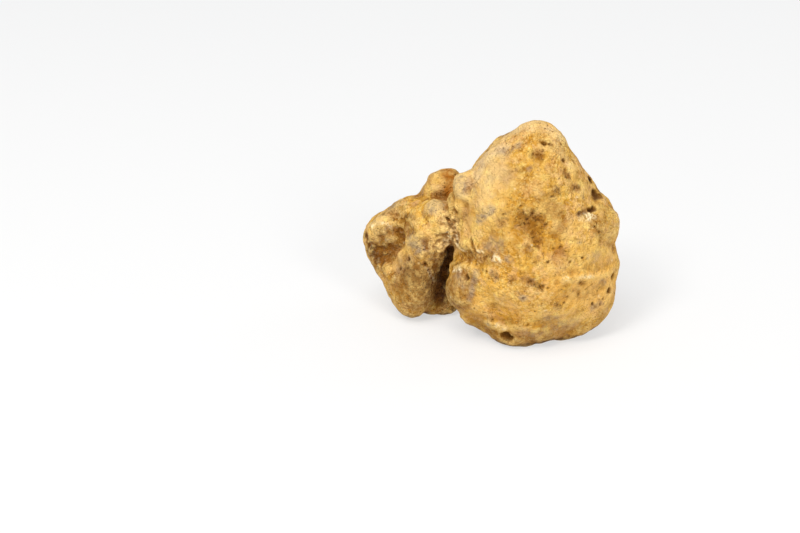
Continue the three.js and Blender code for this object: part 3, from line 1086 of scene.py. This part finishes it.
# %% The layers of colour
GROUND = (0.68, 0.352, 0.042, 1)
LAYERS = [  # where, colour, size, low, high, strength, seed, detail
    ("all", (0.73, 0.435, 0.088), 20, 0.46, 0.58, 0.7, 1, 4),
    ("gold", (0.77, 0.380, 0.042), 7, 0.25, 0.60, 0.9, 25, 6),
    ("pale", (0.86, 0.575, 0.185), 7, 0.25, 0.60, 0.9, 26, 6),
    ("all", (0.50, 0.212, 0.013), 12, 0.47, 0.60, 0.65, 2, 6),
    ("all", (0.74, 0.41, 0.17), 6.5, 0.52, 0.62, 0.5, 27, 6),
    ("all", (0.43, 0.188, 0.013), 5.0, 0.54, 0.62, 0.7, 3, 7),
    ("all", (0.74, 0.345, 0.038), 4.0, 0.53, 0.66, 0.45, 29, 3),
    ("all", (0.93, 0.665, 0.18), 3.6, 0.53, 0.63, 0.6, 4, 6),
    ("all", (0.50, 0.33, 0.17), 5.0, 0.58, 0.65, 0.5, 23, 6),
    ("grain", (0.38, 0.165, 0.012), 2.0, 0.52, 0.62, 0.85, 5, 4),
    ("grain", (0.28, 0.120, 0.010), 1.0, 0.53, 0.63, 0.5, 6, 3),
    ("grain", (0.95, 0.70, 0.27), 1.1, 0.53, 0.63, 0.42, 7, 3),
    ("all", (0.80, 0.47, 0.21), 3.2, 0.53, 0.60, 0.4, 37, 5),
    ("pale", (0.82, 0.53, 0.16), 9, 0.20, 0.60, 0.45, 34, 6),
    ("warm", (0.90, 0.465, 0.095), 6, 0.20, 0.60, 0.7, 41, 6),
    ("chalk", (0.80, 0.61, 0.36), 5, 0.15, 0.55, 0.6, 38, 6),
    # the brown veil, which is also painted shade on undersides and sheltered skin
    ("umber_and_shade", (0.24, 0.092, 0.010), 4, 0.05, 0.48, 0.85, 24, 7),
    ("grain", (0.33, 0.140, 0.012), 0.55, 0.53, 0.66, 0.45, 42, 1),
    ("grain", (0.97, 0.72, 0.28), 0.6, 0.54, 0.66, 0.3, 43, 1),
    ("rust", (0.41, 0.135, 0.007), 3, 0.10, 0.46, 0.95, 8, 6),
    ("bruise", (0.42, 0.285, 0.17), 3.0, 0.20, 0.50, 0.45, 39, 5),
    ("bruise", (0.37, 0.265, 0.165), 2.0, 0.44, 0.55, 0.75, 10, 7),
    ("bruise", (0.20, 0.105, 0.040), 1.0, 0.53, 0.60, 0.6, 36, 3),
    ("brown", (0.26, 0.105, 0.009), 1.6, 0.22, 0.56, 0.85, 9, 5),
    ("brown", (0.10, 0.036, 0.004), 1.0, 0.54, 0.60, 0.85, 28, 2),
    ("crumb", (0.30, 0.120, 0.010), 1.2, 0.51, 0.62, 0.7, 16, 3),
    ("crumb", (0.93, 0.64, 0.25), 1.0, 0.48, 0.60, 0.8, 17, 2),
    ("earth", (0.27, 0.115, 0.017), 2.4, 0.10, 0.44, 0.9, 11, 4),
    ("earth", (0.11, 0.040, 0.006), 1.6, 0.49, 0.60, 0.8, 18, 4),
    ("earth", (0.43, 0.30, 0.165), 1.1, 0.52, 0.62, 0.8, 19, 3),
    # painted shade in the valleys between the crumbs of earth
    ("valley_shade", (0.20, 0.078, 0.010), 1.0, 0.20, 0.50, 0.6, 30, 4),
    # near-black painted shade at the bottom of the cleft and on deeply sheltered skin
    ("deep_shade", (0.055, 0.014, 0.002), 1.2, 0.10, 0.45, 0.95, 22, 4),
    ("chip", (0.98, 0.81, 0.50), 1.0, 0.36, 0.52, 0.95, 12, 2),
    # painted shade in the hollows of the skin
    ("hollow", (0.24, 0.085, 0.004), 0.9, 0.25, 0.60, 0.75, 13, 4),
    # painted highlight on the ridges of the skin
    ("ridge", (0.95, 0.65, 0.22), 1.0, 0.25, 0.60, 0.5, 14, 4),
    # near-black painted shade inside holes, pores and cracks
    ("hole", (0.035, 0.012, 0.002), 1.0, 0.10, 0.40, 0.97, 15, 4),
]
GRAIN_PATCHES = (11, 0.40, 0.62)  # size, low and high of the noise that says where the rind is rough
GRAINY = (0.3, 1)  # how much of the grain shows on smooth and on rough rind
RUBBED = 0.35  # how much of it is left where the rind is rubbed pale
WOBBLE_SIZE = 0.8
WOBBLE = 0.7  # how far a wobble pulls the specks out of round, in millimetres
SPECKS = [  # dark pores and pale flecks: colour, spacing, radius, share, strength, seed
    ((0.13, 0.042, 0.003), 1.8, 0.50, 0.40, 0.9, 40),
    ((0.18, 0.066, 0.005), 2.2, 0.62, 0.5, 0.8, 31),
    ((0.24, 0.095, 0.008), 1.3, 0.42, 0.45, 0.6, 32),
    ((0.98, 0.80, 0.46), 2.9, 0.60, 0.3, 0.7, 33),
]
rind = bpy.data.materials.new("truffle rind")
rind.use_nodes = True
nodes = rind.node_tree
shader = nodes.nodes["Principled BSDF"]
place = add(nodes, "ShaderNodeTexCoord").outputs["Object"]
wobble = add(nodes, "ShaderNodeTexNoise", Vector=place, Scale=1 / (WOBBLE_SIZE * MM)).outputs["Color"]
pull = (WOBBLE * MM, WOBBLE * MM, WOBBLE * MM)
bent_place = calculate(nodes, "ShaderNodeVectorMath", "MULTIPLY_ADD", wobble, pull, place)
rough_parts = scaled(nodes, noise_field(nodes, place, *GRAIN_PATCHES, seed=35), *GRAINY)
grainy = times(nodes, rough_parts, scaled(nodes, stain_value(nodes, "pale"), 1, RUBBED))
colour = GROUND
for where, tint, size, low, high, strength, seed, detail in LAYERS:
    amount = times(nodes, noise_field(nodes, place, size, low, high, seed, detail), strength)
    if where == "grain":
        amount = times(nodes, amount, grainy)
    elif where != "all":
        amount = times(nodes, amount, stain_value(nodes, where))
    colour = lay_over(nodes, amount, colour, tint)
for tint, spacing, radius, share, strength, seed in SPECKS:
    amount = times(nodes, speck_field(nodes, bent_place, spacing, radius, share, seed), strength)
    colour = lay_over(nodes, times(nodes, amount, grainy), colour, tint)
nodes.links.new(colour, shader.inputs["Base Color"])
print(len(LAYERS), "layers of colour")

# %% [markdown]
# ## The feel of the rind
# A dry rind is matt, in some parts a little less than in others. Grain too fine for the mesh is added as
# bumps that only bend the light: soft noise first, then grit, whose grains stand side by side.

# %% Roughness and grain
ROUGHNESS = (0.5, 0.8)
MATT_PATCHES = (3, 0.35, 0.65)
SHEEN = 0.12
GRAIN_RANGE = (0.3, 0.7)
GRAINS = [  # size and height in millimetres, seed, detail
    (1.4, 0.34, 21, 3),
    (0.6, 0.14, 22, 1),
]
GRIT = [  # grains that stand side by side: size and height
    (1.1, 0.20),
    (0.6, 0.13),
]


def bumped(tree, below, height, field, invert=False):
    """The normal below, bent as a relief of height millimetres would bend it."""
    node = add(tree, "ShaderNodeBump", {"invert": invert}, Height=field, Distance=height * MM)
    if below is not None:
        tree.links.new(below, node.inputs["Normal"])
    return node.outputs["Normal"]


matt = scaled(nodes, noise_field(nodes, place, *MATT_PATCHES, seed=20), *ROUGHNESS)
nodes.links.new(matt, shader.inputs["Roughness"])
shader.inputs["Specular IOR Level"].default_value = SHEEN
bent = None
for size, height, seed, detail in GRAINS:
    bent = bumped(nodes, bent, height, noise_field(nodes, place, size, *GRAIN_RANGE, seed, detail))
for size, height in GRIT:
    cells = add(nodes, "ShaderNodeTexVoronoi", Vector=bent_place, Scale=1 / (size * MM))
    bent = bumped(nodes, bent, height, cells.outputs["Distance"], invert=True)
nodes.links.new(bent, shader.inputs["Normal"])
skin.data.materials.clear()
skin.data.materials.append(rind)
print("the rind has", len(nodes.nodes), "nodes")

# %% Hand the skin over
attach(skin, "root")
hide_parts("truffle")
